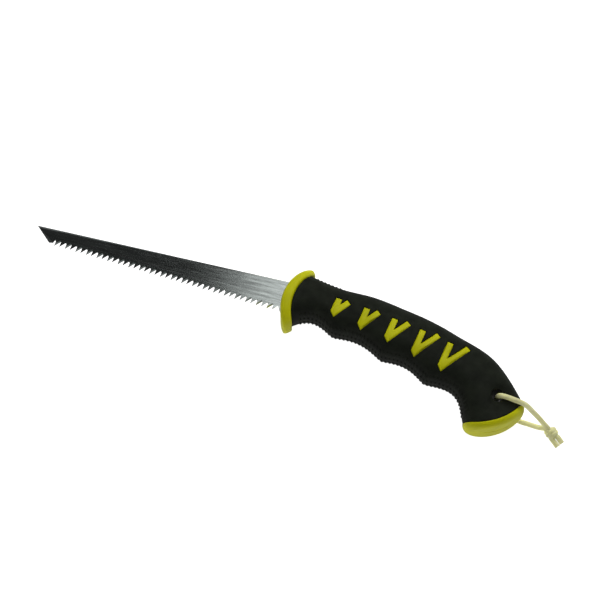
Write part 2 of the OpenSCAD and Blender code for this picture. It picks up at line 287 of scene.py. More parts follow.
class Finish:
    """A new material with a Principled shader, and short ways to add nodes to it."""

    def __init__(self, name, colour, roughness, metallic=0.0):
        self.material = bpy.data.materials.new(FINISH_PREFIX + name)
        self.material.use_nodes = True
        self.tree = self.material.node_tree
        self.shader = self.tree.nodes["Principled BSDF"]
        self.set("Base Color", (*colour, 1))
        self.set("Roughness", roughness)
        self.set("Metallic", metallic)
        self.place = self.tree.nodes.new("ShaderNodeTexCoord").outputs["Object"]
        self.last_bump = None

    def set(self, socket, value):
        self.shader.inputs[socket].default_value = value

    def node(self, kind, **values):
        made = self.tree.nodes.new(kind)
        for key, value in values.items():
            if key in made.inputs:
                made.inputs[key].default_value = value
            else:
                setattr(made, key, value)
        return made

    def link(self, start, end):
        self.tree.links.new(start, end)

    def noise(self, scale, detail=3.0, roughness=0.5, stretch=(1, 1, 1)):
        """Noise in object space.  scale is features per metre; stretch is per axis."""
        mapping = self.node("ShaderNodeMapping")
        mapping.inputs["Scale"].default_value = stretch
        self.link(self.place, mapping.inputs["Vector"])
        made = self.node("ShaderNodeTexNoise", Scale=scale, Detail=detail, Roughness=roughness)
        self.link(mapping.outputs["Vector"], made.inputs["Vector"])
        return made.outputs["Fac"]

    def spread(self, value, low, high, start=0.3, end=0.7):
        """A value from start to end, spread over low to high."""
        made = self.node("ShaderNodeMapRange")
        for key, number in zip(("From Min", "From Max", "To Min", "To Max"), (start, end, low, high)):
            made.inputs[key].default_value = number
        self.link(value, made.inputs["Value"])
        return made.outputs["Result"]

    def tint(self, value, dark, light):
        """Base colour that runs from dark to light as value goes from 0 to 1."""
        mix = self.node("ShaderNodeMix", data_type="RGBA")
        mix.inputs["A"].default_value = (*dark, 1)
        mix.inputs["B"].default_value = (*light, 1)
        self.link(value, mix.inputs["Factor"])
        self.link(mix.outputs["Result"], self.shader.inputs["Base Color"])

    def roughen(self, value):
        self.link(value, self.shader.inputs["Roughness"])

    def bump(self, value, height, strength=1.0):
        """Adds relief of the given height, in metres, over what is there."""
        made = self.node("ShaderNodeBump", Strength=strength, Distance=height)
        self.link(value, made.inputs["Height"])
        if self.last_bump is not None:
            self.link(self.last_bump, made.inputs["Normal"])
        self.last_bump = made.outputs["Normal"]
        self.link(self.last_bump, self.shader.inputs["Normal"])


def shade(colour, share):
    return tuple(min(c * share, 1.0) for c in colour)


def rubber_finish(colour):
    """Soft black moulding: fine spark-eroded grain, faint handling marks and a satin gloss."""
    f = Finish("grip_rubber", colour, 0.5)
    f.tint(f.spread(f.noise(160, 4), 0, 1), shade(colour, 0.75), shade(colour, 1.5))
    f.roughen(f.spread(f.noise(420, 3), 0.50, 0.64))
    f.set("Specular IOR Level", 0.2)
    f.bump(f.noise(2600, 2), 0.00005, 0.5)
    f.bump(f.noise(700, 2), 0.00006, 0.3)
    return f.material


def yellow_finish(colour, name):
    """Hard lime-yellow moulding: fine grain, faint flow marks and slight colour drift."""
    f = Finish(name, colour, 0.36)
    f.tint(f.spread(f.noise(90, 4), 0, 1), shade(colour, 0.90), shade(colour, 1.07))
    f.roughen(f.spread(f.noise(500, 3), 0.36, 0.48))
    f.set("Specular IOR Level", 0.25)
    f.set("Subsurface Weight", 0.08)
    f.set("Subsurface Radius", (0.002, 0.0018, 0.0004))
    f.bump(f.noise(1800, 2), 0.00003, 0.4)
    return f.material


def steel_finish(colour):
    """Blade flat: rolled and brushed along its length, with cloudy streaks."""
    f = Finish("blade_steel", colour, 0.17, 1.0)
    streak = f.noise(1, 5, 0.7, (60, 700, 300))
    f.tint(f.spread(streak, 0, 1, 0.34, 0.66), shade(colour, 0.62), shade(colour, 1.3))
    f.roughen(f.spread(f.noise(1, 4, 0.6, (60, 2600, 300)), 0.09, 0.17))
    f.bump(f.noise(1, 3, 0.6, (90, 5200, 300)), 0.00001, 0.5)
    f.bump(f.noise(1, 2, 0.5, (14, 90, 90)), 0.0003, 0.12)
    return f.material


def ground_finish(colour):
    """Freshly ground bevels: bright, with the wheel's marks across the edge."""
    f = Finish("ground_steel", shade(colour, 1.25), 0.3, 1.0)
    f.roughen(f.spread(f.noise(1, 3, 0.5, (5200, 200, 200)), 0.24, 0.38))
    f.bump(f.noise(1, 2, 0.5, (5200, 160, 160)), 0.00002, 0.5)
    return f.material


def pin_finish(colour):
    """Turned steel pins."""
    f = Finish("pin_steel", colour, 0.35, 1.0)
    f.roughen(f.spread(f.noise(1, 3, 0.5, (400, 400, 4000)), 0.28, 0.45))
    return f.material


def cord_finish(colour):
    """Milky soft plastic tube that lets some light through."""
    f = Finish("cord_milky", colour, 0.34)
    f.tint(f.spread(f.noise(260, 3), 0, 1), shade(colour, 0.93), shade(colour, 1.05))
    f.roughen(f.spread(f.noise(900, 2), 0.28, 0.42))
    f.set("Subsurface Weight", 0.35)
    f.set("Subsurface Radius", (0.004, 0.004, 0.0024))
    f.set("Transmission Weight", 0.22)
    f.set("IOR", 1.45)
    f.bump(f.noise(1200, 2), 0.00003, 0.4)
    return f.material


def floor_finish():
    """White studio sweep, with the faint tooth of painted board."""
    f = Finish("studio_floor", (0.6, 0.6, 0.6), 0.9)
    f.roughen(f.spread(f.noise(60, 3), 0.85, 0.95))
    f.bump(f.noise(900, 2), 0.00004, 0.2)
    f.set("Emission Color", (1, 1, 1, 1))
    f.set("Emission Strength", 0.95)
    return f.material


def finish_named(name, make, *values):
    """The finish of that name, made on first use."""
    return bpy.data.materials.get(FINISH_PREFIX + name) or make(*values)


# ---------------------------------------------------------------------------------------------
# Mesh tools
# ---------------------------------------------------------------------------------------------
def new_piece(name, mesh, materials, nodes):
    """Puts a mesh or curve in the scene as a piece that stands for the given CAD nodes."""
    obj = bpy.data.objects.new(name, mesh)
    bpy.context.scene.collection.objects.link(obj)
    for material in materials:
        mesh.materials.append(material)
    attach(obj, BODY)
    if nodes:
        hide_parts(*nodes)
    return obj


def tube_mesh(name, loops, smooth_angle=40):
    """Closed mesh through a list of equally long loops of points, in local millimetres."""
    bm = bmesh.new()
    rows = [[bm.verts.new(placed(*p)) for p in loop] for loop in loops]
    count = len(rows[0])
    for one, two in zip(rows, rows[1:]):
        for j in range(count):
            n = (j + 1) % count
            bm.faces.new((one[j], one[n], two[n], two[j]))
    for row, flip in ((rows[0], True), (rows[-1], False)):
        middle = bm.verts.new(sum((v.co for v in row), Vector()) / count)
        for j in range(count):
            n = (j + 1) % count
            bm.faces.new((row[n], row[j], middle) if flip else (row[j], row[n], middle))
    bmesh.ops.remove_doubles(bm, verts=bm.verts, dist=1e-6)
    bmesh.ops.recalc_face_normals(bm, faces=bm.faces)
    mesh = bpy.data.meshes.new(name)
    bm.to_mesh(mesh)
    bm.free()
    smooth(mesh, smooth_angle)
    return mesh


def smooth(mesh, angle):
    """Smooth shading, with edges sharper than angle kept sharp."""
    mesh.shade_smooth()
    mesh.set_sharp_from_angle(angle=math.radians(angle))


def cut(obj, cutter):
    """Takes the cutter's volume out of obj, and removes the cutter."""
    modifier = obj.modifiers.new("cut", "BOOLEAN")
    modifier.operation = "DIFFERENCE"
    modifier.solver = "EXACT"
    modifier.object = cutter
    bpy.context.view_layer.update()
    evaluated = obj.evaluated_get(bpy.context.evaluated_depsgraph_get())
    mesh = bpy.data.meshes.new_from_object(evaluated)
    obj.modifiers.clear()
    obj.data = mesh
    bpy.data.objects.remove(cutter)


def loose_object(name, mesh):
    obj = bpy.data.objects.new(name, mesh)
    bpy.context.scene.collection.objects.link(obj)
    return obj


def prism_mesh(name, outline, low, high):
    """Upright prism on a closed outline, in local millimetres."""
    bm = bmesh.new()
    bottom = [bm.verts.new(placed(x, y, low)) for x, y in outline]
    top = [bm.verts.new(placed(x, y, high)) for x, y in outline]
    bm.faces.new(reversed(bottom))
    bm.faces.new(top)
    for j in range(len(outline)):
        n = (j + 1) % len(outline)
        bm.faces.new((bottom[j], bottom[n], top[n], top[j]))
    bmesh.ops.recalc_face_normals(bm, faces=bm.faces)
    mesh = bpy.data.meshes.new(name)
    bm.to_mesh(mesh)
    bm.free()
    return mesh


def keep_smooth_normals(mesh, source):
    """Gives faces that lie on the source surface its smooth normals, so that cuts leave no smears."""
    tree = BVHTree.FromPolygons([v.co for v in source.vertices],
                                [p.vertices[:] for p in source.polygons])
    vertex_normals = [v.normal.copy() for v in source.vertices]
    normals = [None] * len(mesh.loops)
    for polygon in mesh.polygons:
        for index in polygon.loop_indices:
            point = mesh.vertices[mesh.loops[index].vertex_index].co
            spot, normal, face, distance = tree.find_nearest(point)
            on_surface = distance is not None and distance < 2e-6 and normal.dot(polygon.normal) > 0.9
            if not on_surface:
                normals[index] = polygon.normal.copy()
                continue
            near = source.polygons[face].vertices
            weights = [1 / ((source.vertices[v].co - spot).length + 1e-7) for v in near]
            blend = sum((vertex_normals[v] * w for v, w in zip(near, weights)), Vector())
            normals[index] = blend.normalized()
    mesh.shade_smooth()
    mesh.normals_split_custom_set(normals)


# ---------------------------------------------------------------------------------------------
# Blade
# ---------------------------------------------------------------------------------------------
TIP_SLOPE = 1.06                      # run of the cut-off tip against its drop
TIP_SHARE = 0.88                      # drop of the cut-off tip, as a share of the tip's height
TOOTH_RAKE = 0.45                     # how far a tooth point leans to the tip
TOOTH_BACK = 0.98                     # end of a tooth's sloping back, as a share of the pitch
HEEL_FLAT = 1.4                       # plain length between the last tooth and the guard
HEEL_RISE = 0.4                       # height of that plain edge above the line of points
SHOULDER_X = 5.0                      # end of the blade's full height, inside the guard
TANG_ROOT_H = 12.4
TANG_END_H = 10.0
TANG_DROP = 2.6                       # tang's top edge under the spine, at the shoulder
TANG_FALL = 6.4                       # and how much lower it is at its end
TIP_BEVEL = 2.4                       # width of the ground edge across the tip
PIN_CLEAR = 0.1                       # round the pins in their holes
EDGE_LAND = 0.10                      # half thickness that a ground edge keeps
ARRIS = 0.12                          # tiny chamfer along the blade's other edges


def blade_profile(s):
    """Blade's outline: points with the side that is ground there, and how far, in millimetres.

    side is 1 for the left face, -1 for the right face, 0 for neither and 2 for both."""
    heel, tip = s.heel_height / MM, s.tip_height / MM
    pitch, depth, bevel = s.tooth_pitch / MM, s.tooth_depth / MM, s.bevel / MM
    tip_drop = tip * TIP_SHARE
    tip_x = -BLADE_FRONT_L + tip_drop * TIP_SLOPE
    first = tip_x + pitch
    teeth = int((-HEEL_FLAT - first) / pitch)
    fall = (heel - tip) / -first

    def points_y(x):
        return -tip - fall * (x - first)

    rows = []
    root_y = points_y(first) + depth
    rows.append(((-BLADE_FRONT_L, 0), (0.6, -0.5), 2, TIP_BEVEL))
    rows.append(((tip_x, -tip_drop), (1, 0.25), 2, TIP_BEVEL))
    rows.append(((tip_x + pitch * TOOTH_BACK, root_y), (-0.35, 0.9), -1, bevel * 0.9))
    for i in range(teeth):
        x = first + i * pitch
        side = 1 if i % 2 == 0 else -1
        rows.append(((x + TOOTH_RAKE, points_y(x) + depth), (0.35, 0.9), side, bevel * 0.9))
        rows.append(((x, points_y(x)), (0.62, 1.9), side, bevel))
        rows.append(((x + pitch * TOOTH_BACK, points_y(x) + depth), (-0.35, 0.9), side, bevel * 0.9))
    rows.append(((0, points_y(0) + HEEL_RISE), (0, 1), 0, ARRIS))
    rows.append(((SHOULDER_X, points_y(SHOULDER_X) + HEEL_RISE), (-1, 1), 0, ARRIS))
    rows.append(((SHOULDER_X, -TANG_DROP - TANG_ROOT_H), (-1, 1), 0, ARRIS))
    rows.append(((TANG_L, -TANG_DROP - TANG_FALL - TANG_END_H), (-1, 1), 0, ARRIS))
    rows.append(((TANG_L, -TANG_DROP - TANG_FALL), (-1, -1), 0, ARRIS))
    rows.append(((SHOULDER_X, -TANG_DROP), (-1, -1), 0, ARRIS))
    rows.append(((SHOULDER_X, 0), (-1, -1), 0, ARRIS))
    return rows


def blade_mesh(s):
    """Plate with teeth ground from alternate sides and a point ground from both."""
    half = BLADE_T / 2
    rows = blade_profile(s)
    bm = bmesh.new()

    def face_loop(sign):
        made = []
        for (x, y), (dx, dy), side, width in rows:
            ground = side == 2 or side == sign
            k = width if ground or side == 0 else ARRIS * 0.5
            made.append(bm.verts.new(placed(x + dx * k, y + dy * k, sign * half)))
        return made

    def edge_loop(sign):
        made = []
        for (x, y), _, side, _ in rows:
            if side == 2:
                z = sign * EDGE_LAND * 0.4
            elif side == 0:
                z = sign * (half - ARRIS)
            else:
                z = -side * (half - ARRIS * 0.5) if sign == side else sign * (half - ARRIS * 0.4)
                z = z + (sign * 0.02 if sign == side else 0)
            made.append(bm.verts.new(placed(x, y, z)))
        return made

    left, left_edge = face_loop(1), edge_loop(1)
    right, right_edge = face_loop(-1), edge_loop(-1)
    bm.faces.new(left)
    bm.faces.new(list(reversed(right)))
    ground_faces = []
    for one, two in ((left, left_edge), (left_edge, right_edge), (right_edge, right)):
        for j in range(len(rows)):
            n = (j + 1) % len(rows)
            face = bm.faces.new((one[j], one[n], two[n], two[j]))
            if rows[j][2] and rows[n][2]:
                ground_faces.append(face)
    for face in ground_faces:
        face.material_index = 1
    bmesh.ops.recalc_face_normals(bm, faces=bm.faces)
    bmesh.ops.triangulate(bm, faces=[f for f in bm.faces if len(f.verts) > 4])
    mesh = bpy.data.meshes.new("blade_plate")
    bm.to_mesh(mesh)
    bm.free()
    return mesh


class SAW_OT_blade(bpy.types.Operator):
    """Builds the blade with its ground teeth, point and tang"""
    bl_idname = "drywall_saw.blade"
    bl_label = "Blade"

    def execute(self, context):
        s = context.scene.saw_blade
        steel = finish_named("blade_steel", steel_finish, tuple(s.steel))
        ground = finish_named("ground_steel", ground_finish, tuple(s.steel))
        blade = new_piece("blade_plate", blade_mesh(s), [steel, ground], ["blade"])
        for end in ("front", "rear"):
            low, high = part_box("tang_pin_" + end)
            middle = (low + high) / 2
            hole = bpy.data.meshes.new("hole")
            bm = bmesh.new()
            radius = (high.x - low.x) / 2 + PIN_CLEAR * MM
            bmesh.ops.create_cone(bm, segments=40, radius1=radius, radius2=radius, depth=4 * MM,
                                  cap_ends=True, matrix=Matrix.Translation(middle))
            bm.to_mesh(hole)
            bm.free()
            cut(blade, loose_object("hole", hole))
        return {"FINISHED"}


# ---------------------------------------------------------------------------------------------
# Guard and butt
# ---------------------------------------------------------------------------------------------
def rounded_corners(low_r, high_r, half_w, edge, steps=5):
    """Rounded rectangle in radius and height, as a closed list of points."""
    e = min(edge, half_w * 0.98, (high_r - low_r) * 0.48)
    points = []
    for cr, cz, start in ((high_r - e, half_w - e, 0), (low_r + e, half_w - e, 90),
                          (low_r + e, -half_w + e, 180), (high_r - e, -half_w + e, 270)):
        for k in range(steps + 1):
            turn = math.radians(start + 90 * k / steps)
            points.append((cr + e * math.cos(turn), cz + e * math.sin(turn)))
    return points


def guard_rear_at(turn):
    """Distance from the front arc's centre to the guard's rear face."""
    e = (GUARD_C[0] - GUARD_REAR_C[0], GUARD_C[1] - GUARD_REAR_C[1])
    along = -e[0] * math.cos(turn) + e[1] * math.sin(turn)
    return math.sqrt(along ** 2 - e[0] ** 2 - e[1] ** 2 + GUARD_REAR_R ** 2) - along


def guard_mesh(edge):
    """Arched flange with soft edges, whose outline along the saw is a superellipse."""
    loops = []
    steps = 96
    half_turn = math.radians(GUARD_HALF_TURN)
    for k in range(steps + 1):
        v = -math.cos(math.pi * k / steps)
        turn = math.radians(GUARD_LEAN) + v * half_turn
        half_w = GUARD_W / 2 * max(1 - abs(v) ** GUARD_POWER, 0.0) ** (1 / GUARD_POWER)
        from_end = (1 - abs(v)) * half_turn * (GUARD_R - GUARD_T / 2)
        rear_r = guard_rear_at(turn)
        soft = (GUARD_R - rear_r) / 2 * GUARD_END_SOFT
        inset = soft - math.sqrt(max(soft ** 2 - max(soft - from_end, 0) ** 2, 0))
        loop = []
        for r, z in rounded_corners(rear_r + inset, GUARD_R - inset, max(half_w, 0.02), edge):
            loop.append((GUARD_C[0] - r * math.cos(turn), GUARD_C[1] + r * math.sin(turn), z))
        loops.append(loop)
    return tube_mesh("guard_flange", loops, 50)


def butt_mesh(edge):
    """Band that carries on the grip's skin past the seam and rolls over to a domed end face."""
    count = 96
    seam_r = BUTT_R - BUTT_T + SEAM / 2
    rings = [(seam_r, 1.6), (seam_r, 0.45), (seam_r + 0.08, 0.16), (seam_r + 0.3, 0.0)]
    flat_end = BUTT_R - edge
    if flat_end > seam_r + 0.5:
        rings += [(seam_r + 0.3 + (flat_end - seam_r - 0.3) * k / 3, 0.0) for k in (1, 2, 3)]
    for k in range(1, 13):
        turn = math.radians(90 * k / 12)
        rings.append((flat_end + edge * math.sin(turn), edge * (1 - math.cos(turn))))
    rings += [(BUTT_R, edge + (BUTT_FACE_INSET - edge) * k / 6) for k in range(1, 7)]
    loops = []
    for radius, inset in rings:
        loop = []
        for j in range(count):
            q = 2 * math.pi * j / count

            def passed(t, q=q, radius=radius, inset=inset):
                return from_centre(grip_point(t, q, inset), BUTT_C) > radius
            t = station_where(passed, 3.2, 4.9)
            loop.append(tuple(grip_point(t, q, inset)))
        loops.append(loop)
    return tube_mesh("butt_band", loops, 60)


class SAW_OT_trim(bpy.types.Operator):
    """Builds the guard in front of the hand and the band round the butt"""
    bl_idname = "drywall_saw.trim"
    bl_label = "Guard and butt"

    def execute(self, context):
        s = context.scene.saw_trim
        yellow = finish_named("trim_yellow", yellow_finish, tuple(s.yellow), "trim_yellow")
        guard = new_piece("guard_flange", guard_mesh(s.edge / MM), [yellow], ["guard"])
        heel = context.scene.saw_blade.heel_height / MM
        slot_end, slot_low = SHOULDER_X + SLOT_CLEAR, -heel - 0.2
        slot_outline = [(-8, SLOT_CLEAR), (slot_end, SLOT_CLEAR), (slot_end, slot_low), (-8, slot_low)]
        half_slot = BLADE_T / 2 + SLOT_CLEAR
        slot = prism_mesh("slot", slot_outline, -half_slot, half_slot)
        cut(guard, loose_object("slot", slot))
        smooth(guard.data, 50)
        new_piece("butt_band", butt_mesh(s.butt_edge / MM), [yellow], ["butt_cap"])
        return {"FINISHED"}


# ---------------------------------------------------------------------------------------------
# Chevrons: outlines shared by the sleeve's windows and the inlays
# ---------------------------------------------------------------------------------------------
def chevron_outline(i, width, grow=0.0):
    """Seven corners of chevron i, grown all round, in local millimetres."""
    corner = np.array((30.1 + CHEVRON_STEP * i, -16 - 3.6 * i - 0.24 * i * i))
    left_l, right_l = 9.1 + 1.65 * i, 12.9 + 2.3 * i
    up_left = np.array((math.cos(LEFT_ARM_TURN), math.sin(LEFT_ARM_TURN)))
    up_right = np.array((math.cos(RIGHT_ARM_TURN), math.sin(RIGHT_ARM_TURN)))
    in_left = np.array((up_left[1], -up_left[0]))
    in_right = np.array((-up_right[1], up_right[0]))
    low = corner + np.array(APEX_CUT)
    left_in, right_in = corner + in_left * width, low + in_right * width
    across = np.array([[up_left[0], -up_right[0]], [up_left[1], -up_right[1]]])
    along = np.linalg.solve(across, right_in - left_in)
    notch = left_in + up_left * along[0]
    outline = [corner, corner + up_left * left_l, left_in + up_left * left_l, notch,
               right_in + up_right * right_l, low + up_right * right_l, low]
    return offset_outline(outline, grow)


def offset_outline(outline, grow):
    """Moves each edge of a clockwise outline outwards by grow."""
    if not grow:
        return [tuple(p) for p in outline]
    made = []
    count = len(outline)
    for j in range(count):
        before, here, after = outline[j - 1], outline[j], outline[(j + 1) % count]
        one, two = here - before, after - here
        one, two = one / np.linalg.norm(one), two / np.linalg.norm(two)
        out_one, out_two = np.array((-one[1], one[0])), np.array((-two[1], two[0]))
        mitre = (out_one + out_two) / (1 + float(np.dot(out_one, out_two)))
        made.append(tuple(here + mitre * grow))
    return made


def rounded_outline(outline, radius, steps=3):
    """The same outline with its corners rounded off."""
    made = []
    count = len(outline)
    for j in range(count):
        before, here, after = (np.array(outline[(j + k) % count]) for k in (-1, 0, 1))
        one, two = before - here, after - here
        reach_one = min(radius, np.linalg.norm(one) * 0.45)
        reach_two = min(radius, np.linalg.norm(two) * 0.45)
        start = here + one / np.linalg.norm(one) * reach_one
        end = here + two / np.linalg.norm(two) * reach_two
        for k in range(steps + 1):
            f = k / steps
            made.append(tuple((1 - f) ** 2 * start + 2 * f * (1 - f) * here + f * f * end))
    return made


# ---------------------------------------------------------------------------------------------
# Soft sleeve
# ---------------------------------------------------------------------------------------------
def sleeve_loops(rings, sides):
    """Rings of the sleeve's skin between the guard's rear face and the butt's seam."""
    front_r = GUARD_REAR_R - SEAM
    end_r = BUTT_R - BUTT_T - SEAM / 2
    starts, ends = [], []
    for j in range(sides):
        q = 2 * math.pi * j / sides
        starts.append(station_where(
            lambda t: from_centre(grip_point(t, q), GUARD_REAR_C) < front_r, 0.0, 0.8))
        ends.append(station_where(
            lambda t: from_centre(grip_point(t, q), BUTT_C) > end_r, 3.4, LAST_STATION))
    lip = [(1.6, 0.0), (0.5, 0.0), (0.16, 0.004), (0.0, 0.013)]
    shares = [(f, inset) for inset, f in ((i, s / 4) for i, s in lip)]
    shares += [(0.008 + 0.984 * k / rings, 0.0) for k in range(rings + 1)]
    shares += [(1 - f, inset) for f, inset in reversed(shares[:len(lip)])]
    loops = []
    for share, inset in shares:
        loop = []
        for j in range(sides):
            q = 2 * math.pi * j / sides
            t = starts[j] + (ends[j] - starts[j]) * share
            x, y, z = grip_point(t, q, inset)
            loop.append((x, y, scooped(x, y, z)))
        loops.append(loop)
    return loops


WINDOW_FLOOR = GRIP_W / 2 - SLEEVE_T - 1.4    # depth of the inlays' windows, from the middle
WINDOW_CORNER_R = 0.5
RIB_HALF_L = 1.75                     # half size of a rib round the grip
RIB_HALF_W = 0.72                     # and along it
RIB_ROOT = 0.12                       # depth of a rib's foot in the skin
RIB_POWER = 2.6                       # of the superellipse that a rib is in plan
FINGER_STATIONS = (0.30, 3.93)        # stretch of the finger side with ribs
FINGER_ROWS = (-7.6, -2.6, 2.6, 7.6)
THUMB_STATIONS = (0.50, 1.02)         # stretch of the back with ribs
THUMB_ROWS = (-5.1, 0.0, 5.1)
THUMB_SHARE = 0.75                    # height of those ribs against the finger side's


def surface_frame(t, q):
    """Point, direction along the grip, direction round it and outward normal on its skin."""
    step = 0.004
    here = grip_point(t, q)
    along = grip_point(t + step, q) - grip_point(t - step, q)
    around = grip_point(t, q + step) - grip_point(t, q - step)
    normal = np.cross(around, along)
    centre = (back_at(t) + fingers_at(t)) / 2
    if np.dot(normal[:2], here[:2] - centre) + normal[2] * here[2] < 0:
        normal = -normal
    return here, along / np.linalg.norm(along), around / np.linalg.norm(around), \
        normal / np.linalg.norm(normal)


def add_rib(bm, t, q, half_l, half_w, height):
    """One small rounded rib that stands on the sleeve's skin."""
    here, along, around, normal = surface_frame(t, q)
    rows = []
    sides = 12
    for k in range(4):
        turn = math.radians(90 * k / 4)
        row = []
        for j in range(sides):
            angle = 2 * math.pi * j / sides
            c = superellipse(math.cos(angle), RIB_POWER) * half_w * math.cos(turn) ** 0.6
            s = superellipse(math.sin(angle), RIB_POWER) * half_l * math.cos(turn) ** 0.6
            rise = height * math.sin(turn) - RIB_ROOT
            p = here + along * c + around * s + normal * rise
            row.append(bm.verts.new(placed(*p)))
        rows.append(row)
    top = bm.verts.new(placed(*(here + normal * (height - 0.10))))
    for one, two in zip(rows, rows[1:]):
        for j in range(sides):
            n = (j + 1) % sides
            bm.faces.new((one[j], one[n], two[n], two[j]))
    for j in range(sides):
        bm.faces.new((rows[-1][j], rows[-1][(j + 1) % sides], top))
    bm.faces.new(list(reversed(rows[0])))


def rib_stations(start, end, pitch, point_at):
    """Stations spaced evenly along an edge of the grip."""
    made, t, last = [], start, point_at(start)
    gone = pitch
    while t < end:
        here = point_at(t)
        gone += float(np.linalg.norm(here - last))
        last = here
        if gone >= pitch:
            made.append(t)
            gone = 0.0
        t += 0.002
    return made


def side_angle(t, z):
    """Angle round the section, on the finger side, at which the skin is z from the middle."""
    share = min(abs(z) / half_width_at(t), 0.99) ** (SECTION_POWER / 2)
    return math.pi - math.copysign(math.asin(share), z)


def ribs_mesh(pitch, height):
    """Rows of ribs along the finger grooves, and a thumb patch behind the guard."""
    bm = bmesh.new()
    for t in rib_stations(*FINGER_STATIONS, pitch, fingers_at):
        for z in FINGER_ROWS:
            add_rib(bm, t, side_angle(t, z), RIB_HALF_L, RIB_HALF_W, height)
    for t in rib_stations(*THUMB_STATIONS, pitch, back_at):
        for z in THUMB_ROWS:
            add_rib(bm, t, math.pi - side_angle(t, z), RIB_HALF_L, RIB_HALF_W,
                    height * THUMB_SHARE)
    bmesh.ops.recalc_face_normals(bm, faces=bm.faces)
    mesh = bpy.data.meshes.new("grip_ribs")
    bm.to_mesh(mesh)
    bm.free()
    smooth(mesh, 60)
    return mesh


class SAW_OT_sleeve(bpy.types.Operator):
    """Builds the soft sleeve with its scoops, lanyard hole, inlay windows and grip ribs"""
    bl_idname = "drywall_saw.sleeve"
    bl_label = "Grip sleeve"

    def execute(self, context):
        s = context.scene.saw_grip
        inlay = context.scene.saw_inlay
        rubber = finish_named("grip_rubber", rubber_finish, tuple(s.rubber))
        mesh = tube_mesh("grip_skin", sleeve_loops(s.rings, s.sides), 70)
        source = mesh.copy()
        skin = new_piece("grip_skin", mesh, [rubber], ["grip_sleeve"])
        outline = [(HOLE_AT[0] + HOLE_R * math.cos(a), HOLE_AT[1] + HOLE_R * math.sin(a))
                   for a in np.linspace(0, 2 * math.pi, 64, endpoint=False)]
        cut(skin, loose_object("hole", prism_mesh("hole", outline, -HOLE_REACH, HOLE_REACH)))
        for side in (1, -1):
            for i in range(INLAYS):
                window = chevron_outline(i, inlay.arm_width / MM, inlay.gap / MM)
                window = rounded_outline(window, WINDOW_CORNER_R)
                low, high = sorted((side * WINDOW_FLOOR, side * HOLE_REACH))
                cut(skin, loose_object("window", prism_mesh("window", window, low, high)))
        keep_smooth_normals(skin.data, source)
        bpy.data.meshes.remove(source)
        new_piece("grip_ribs", ribs_mesh(s.rib_pitch / MM, s.rib_height / MM), [rubber],
                  [])
        return {"FINISHED"}


# ---------------------------------------------------------------------------------------------
# Inlays
# ---------------------------------------------------------------------------------------------
def inlay_mesh(i, side, width, recess):
    """Chevron whose face follows the grip's side just under the sleeve, with soft edges."""
    edge = 0.28
    outer = rounded_outline(chevron_outline(i, width), 0.45)
    inner = rounded_outline(chevron_outline(i, width, -edge), 0.35)
    xs, ys = [p[0] for p in inner], [p[1] for p in inner]
    grid = [(x, y) for x in np.arange(min(xs), max(xs), 0.9) for y in np.arange(min(ys), max(ys), 0.9)]
    points = [Vector(p) for p in inner] + [Vector(p) for p in grid if inside(p, inner, 0.25)]
    ring = [(j, (j + 1) % len(inner)) for j in range(len(inner))]
    verts, _, faces, _, _, _ = delaunay_2d_cdt(points, ring, [], 1, 1e-4)
    bm = bmesh.new()
    top = [bm.verts.new(placed(v.x, v.y, side * side_height(v.x, v.y, recess))) for v in verts]
    for face in faces:
        bm.faces.new([top[k] for k in face])
    rim = top[:len(inner)]
    back = GRIP_W / 2 - SLEEVE_T
    count = len(inner)
    previous = rim
    rolls = [(0.5, 0.06), (1.0, 0.28)]
    for share, drop in rolls:
        row = []
        for (x0, y0), (x1, y1) in zip(inner, outer):
            x, y = x0 + (x1 - x0) * share, y0 + (y1 - y0) * share
            row.append(bm.verts.new(placed(x, y, side * (side_height(x, y, recess) - drop))))
        for j in range(count):
            n = (j + 1) % count
            bm.faces.new((previous[j], previous[n], row[n], row[j]))
        previous = row
    base = [bm.verts.new(placed(x, y, side * min(back, side_height(x, y, recess) - 0.6)))
            for x, y in outer]
    for j in range(count):
        n = (j + 1) % count
        bm.faces.new((previous[j], previous[n], base[n], base[j]))
    bm.faces.new(base)
    bmesh.ops.recalc_face_normals(bm, faces=bm.faces)
    mesh = bpy.data.meshes.new("chevron")
    bm.to_mesh(mesh)
    bm.free()
    smooth(mesh, 50)
    return mesh


def inside(point, outline, clear):
    """True if the point lies inside the outline and clear of its edges."""
    x, y = point
    odd = False
    for j in range(len(outline)):
        (x0, y0), (x1, y1) = outline[j - 1], outline[j]
        if (y0 > y) != (y1 > y) and x < (x1 - x0) * (y - y0) / (y1 - y0) + x0:
            odd = not odd
        edge = np.array((x1 - x0, y1 - y0))
        share = np.clip(np.dot((x - x0, y - y0), edge) / max(np.dot(edge, edge), 1e-9), 0, 1)
        if math.hypot(x - x0 - edge[0] * share, y - y0 - edge[1] * share) < clear:
            return False
    return odd


class SAW_OT_inlays(bpy.types.Operator):
    """Builds the five chevron inlays on each side"""
    bl_idname = "drywall_saw.inlays"
    bl_label = "Chevron inlays"

    def execute(self, context):
        s = context.scene.saw_inlay
        yellow = tuple(context.scene.saw_trim.yellow)
        finish = finish_named("inlay_yellow", yellow_finish, yellow, "inlay_yellow")
        for side, word in ((1, "left"), (-1, "right")):
            for i in range(INLAYS):
                mesh = inlay_mesh(i, side, s.arm_width / MM, s.recess / MM)
                new_piece("inlay_%s_%d" % (word, i + 1), mesh, [finish],
                          ["chevron_%s_%d" % (word, i + 1)])
        return {"FINISHED"}


